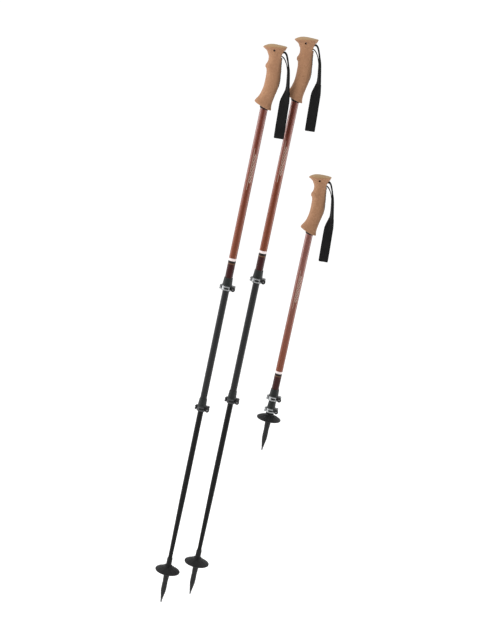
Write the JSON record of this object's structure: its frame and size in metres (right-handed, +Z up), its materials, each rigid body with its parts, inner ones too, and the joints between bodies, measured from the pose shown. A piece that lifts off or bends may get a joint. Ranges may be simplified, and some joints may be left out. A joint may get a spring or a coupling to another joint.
{
  "type": "trekking poles",
  "caption": "Telescoping trekking poles with cork grips, wrist straps, lever locks, round baskets and pointed tips, at walking length and collapsed.",
  "frame": {"origin": "centre of the upright box around all the poles, level with the point of the lowest tip", "axes": "+Z up the shafts from tip to grip, +X from the front of the grips to the strap side, -Y towards the front"},
  "size_m": [0.2242, 0.2164, 1.2485],
  "materials": {
    "cork": "bare moulded cork, fine dark grain",
    "pin_steel": "dark pin in the grip's head",
    "webbing": "black woven webbing",
    "upper_shaft": "copper-brown anodised tube, satin",
    "collar_plastic": "dark grey moulded nylon",
    "band_metal": "silver satin band",
    "lever_silver": "silver satin lever",
    "lever_dark": "dark grey lever",
    "bolt_steel": "plain steel",
    "black_plastic": "black moulded plastic",
    "middle_shaft": "charcoal anodised tube, satin",
    "lower_shaft": "black anodised tube, satin",
    "tip_plastic": "black moulded nylon",
    "basket_plastic": "black moulded plastic",
    "carbide": "grey sintered carbide"
  },
  "bodies": {
    "pole1": {"pole1_grip": "cork", "pole1_strap_pin": "pin_steel", "pole1_upper_tube": "upper_shaft", "pole1_upper_collar": "collar_plastic", "pole1_upper_clamp_band": "band_metal", "pole1_upper_t_bolt": "bolt_steel"},
    "pole1_strap": {"pole1_wrist_strap": "webbing"},
    "pole1_upper_lever_body": {"pole1_upper_lever": "lever_silver"},
    "pole1_upper_nut_body": {"pole1_upper_thumb_nut": "black_plastic"},
    "pole1_middle_section": {"pole1_middle_tube": "middle_shaft", "pole1_middle_end_plug": "black_plastic", "pole1_lower_collar": "collar_plastic", "pole1_lower_clamp_band": "band_metal", "pole1_lower_t_bolt": "bolt_steel"},
    "pole1_lower_lever_body": {"pole1_lower_lever": "lever_dark"},
    "pole1_lower_nut_body": {"pole1_lower_thumb_nut": "black_plastic"},
    "pole1_lower_section": {"pole1_lower_tube": "lower_shaft", "pole1_tip_body": "tip_plastic", "pole1_basket": "basket_plastic", "pole1_carbide_tip": "carbide"},
    "pole2": {"pole2_grip": "cork", "pole2_strap_pin": "pin_steel", "pole2_upper_tube": "upper_shaft", "pole2_upper_collar": "collar_plastic", "pole2_upper_clamp_band": "band_metal", "pole2_upper_t_bolt": "bolt_steel"},
    "pole2_strap": {"pole2_wrist_strap": "webbing"},
    "pole2_upper_lever_body": {"pole2_upper_lever": "lever_silver"},
    "pole2_upper_nut_body": {"pole2_upper_thumb_nut": "black_plastic"},
    "pole2_middle_section": {"pole2_middle_tube": "middle_shaft", "pole2_middle_end_plug": "black_plastic", "pole2_lower_collar": "collar_plastic", "pole2_lower_clamp_band": "band_metal", "pole2_lower_t_bolt": "bolt_steel"},
    "pole2_lower_lever_body": {"pole2_lower_lever": "lever_dark"},
    "pole2_lower_nut_body": {"pole2_lower_thumb_nut": "black_plastic"},
    "pole2_lower_section": {"pole2_lower_tube": "lower_shaft", "pole2_tip_body": "tip_plastic", "pole2_basket": "basket_plastic", "pole2_carbide_tip": "carbide"},
    "pole3": {"pole3_grip": "cork", "pole3_strap_pin": "pin_steel", "pole3_upper_tube": "upper_shaft", "pole3_upper_collar": "collar_plastic", "pole3_upper_clamp_band": "band_metal", "pole3_upper_t_bolt": "bolt_steel"},
    "pole3_strap": {"pole3_wrist_strap": "webbing"},
    "pole3_upper_lever_body": {"pole3_upper_lever": "lever_silver"},
    "pole3_upper_nut_body": {"pole3_upper_thumb_nut": "black_plastic"},
    "pole3_middle_section": {"pole3_middle_tube": "middle_shaft", "pole3_middle_end_plug": "black_plastic", "pole3_lower_collar": "collar_plastic", "pole3_lower_clamp_band": "band_metal", "pole3_lower_t_bolt": "bolt_steel"},
    "pole3_lower_lever_body": {"pole3_lower_lever": "lever_silver"},
    "pole3_lower_nut_body": {"pole3_lower_thumb_nut": "black_plastic"},
    "pole3_lower_section": {"pole3_lower_tube": "lower_shaft", "pole3_tip_body": "tip_plastic", "pole3_basket": "basket_plastic", "pole3_carbide_tip": "carbide"}
  },
  "joints": [
    {"name": "pole1_middle_slide", "type": "slide", "parent": "pole1", "child": "pole1_middle_section", "axis": [0, 0, 1], "range_m": [-0.06, 0.238]},
    {"name": "pole1_lower_slide", "type": "slide", "parent": "pole1_middle_section", "child": "pole1_lower_section", "axis": [0, 0, 1], "range_m": [-0.02, 0.356]},
    {"name": "pole1_strap_swing", "type": "hinge", "parent": "pole1", "child": "pole1_strap", "pos_m": [-0.07139, -0.0815, 1.2066], "axis": [0, -1, 0], "range_deg": [0, 40]},
    {"name": "pole1_upper_lever_open", "type": "hinge", "parent": "pole1", "child": "pole1_upper_lever_body", "pos_m": [-0.07169, -0.0738, 0.717], "axis": [0, 0, -1], "range_deg": [0, 120]},
    {"name": "pole1_upper_nut_turn", "type": "hinge", "parent": "pole1", "child": "pole1_upper_nut_body", "pos_m": [-0.07169, -0.0875, 0.717], "axis": [0, -1, 0], "continuous": true},
    {"name": "pole1_lower_lever_open", "type": "hinge", "parent": "pole1_middle_section", "child": "pole1_lower_lever_body", "pos_m": [-0.07269, -0.0738, 0.451], "axis": [0, 0, -1], "range_deg": [0, 120]},
    {"name": "pole1_lower_nut_turn", "type": "hinge", "parent": "pole1_middle_section", "child": "pole1_lower_nut_body", "pos_m": [-0.07269, -0.0875, 0.451], "axis": [0, -1, 0], "continuous": true},
    {"name": "pole2_lift", "type": "slide", "parent": "pole1", "child": "pole2", "axis": [0, 0, 1], "range_m": [0, 0.25]},
    {"name": "pole2_middle_slide", "type": "slide", "parent": "pole2", "child": "pole2_middle_section", "axis": [0, 0, 1], "range_m": [-0.06, 0.238]},
    {"name": "pole2_lower_slide", "type": "slide", "parent": "pole2_middle_section", "child": "pole2_lower_section", "axis": [0, 0, 1], "range_m": [-0.02, 0.356]},
    {"name": "pole2_strap_swing", "type": "hinge", "parent": "pole2", "child": "pole2_strap", "pos_m": [-0.01349, -0.0655, 1.2319], "axis": [0, -1, 0], "range_deg": [0, 40]},
    {"name": "pole2_upper_lever_open", "type": "hinge", "parent": "pole2", "child": "pole2_upper_lever_body", "pos_m": [-0.01379, -0.0578, 0.7423], "axis": [0, 0, -1], "range_deg": [0, 120]},
    {"name": "pole2_upper_nut_turn", "type": "hinge", "parent": "pole2", "child": "pole2_upper_nut_body", "pos_m": [-0.01379, -0.0715, 0.7423], "axis": [0, -1, 0], "continuous": true},
    {"name": "pole2_lower_lever_open", "type": "hinge", "parent": "pole2_middle_section", "child": "pole2_lower_lever_body", "pos_m": [-0.01479, -0.0578, 0.4763], "axis": [0, 0, -1], "range_deg": [0, 120]},
    {"name": "pole2_lower_nut_turn", "type": "hinge", "parent": "pole2_middle_section", "child": "pole2_lower_nut_body", "pos_m": [-0.01479, -0.0715, 0.4763], "axis": [0, -1, 0], "continuous": true},
    {"name": "pole3_lift", "type": "slide", "parent": "pole1", "child": "pole3", "axis": [0, 0, 1], "range_m": [0, 0.25]},
    {"name": "pole3_middle_slide", "type": "slide", "parent": "pole3", "child": "pole3_middle_section", "axis": [0, 0, 1], "range_m": [-0.298, 0]},
    {"name": "pole3_lower_slide", "type": "slide", "parent": "pole3_middle_section", "child": "pole3_lower_section", "axis": [0, 0, 1], "range_m": [-0.376, 0]},
    {"name": "pole3_strap_swing", "type": "hinge", "parent": "pole3", "child": "pole3_strap", "pos_m": [0.07561, 0.0815, 0.9442], "axis": [0, -1, 0], "range_deg": [0, 40]},
    {"name": "pole3_upper_lever_open", "type": "hinge", "parent": "pole3", "child": "pole3_upper_lever_body", "pos_m": [0.07531, 0.0892, 0.4546], "axis": [0, 0, -1], "range_deg": [0, 120]},
    {"name": "pole3_upper_nut_turn", "type": "hinge", "parent": "pole3", "child": "pole3_upper_nut_body", "pos_m": [0.07531, 0.0755, 0.4546], "axis": [0, -1, 0], "continuous": true},
    {"name": "pole3_lower_lever_open", "type": "hinge", "parent": "pole3_middle_section", "child": "pole3_lower_lever_body", "pos_m": [0.07431, 0.0892, 0.4266], "axis": [0, 0, -1], "range_deg": [0, 120]},
    {"name": "pole3_lower_nut_turn", "type": "hinge", "parent": "pole3_middle_section", "child": "pole3_lower_nut_body", "pos_m": [0.07431, 0.0755, 0.4266], "axis": [0, -1, 0], "continuous": true}
  ]
}
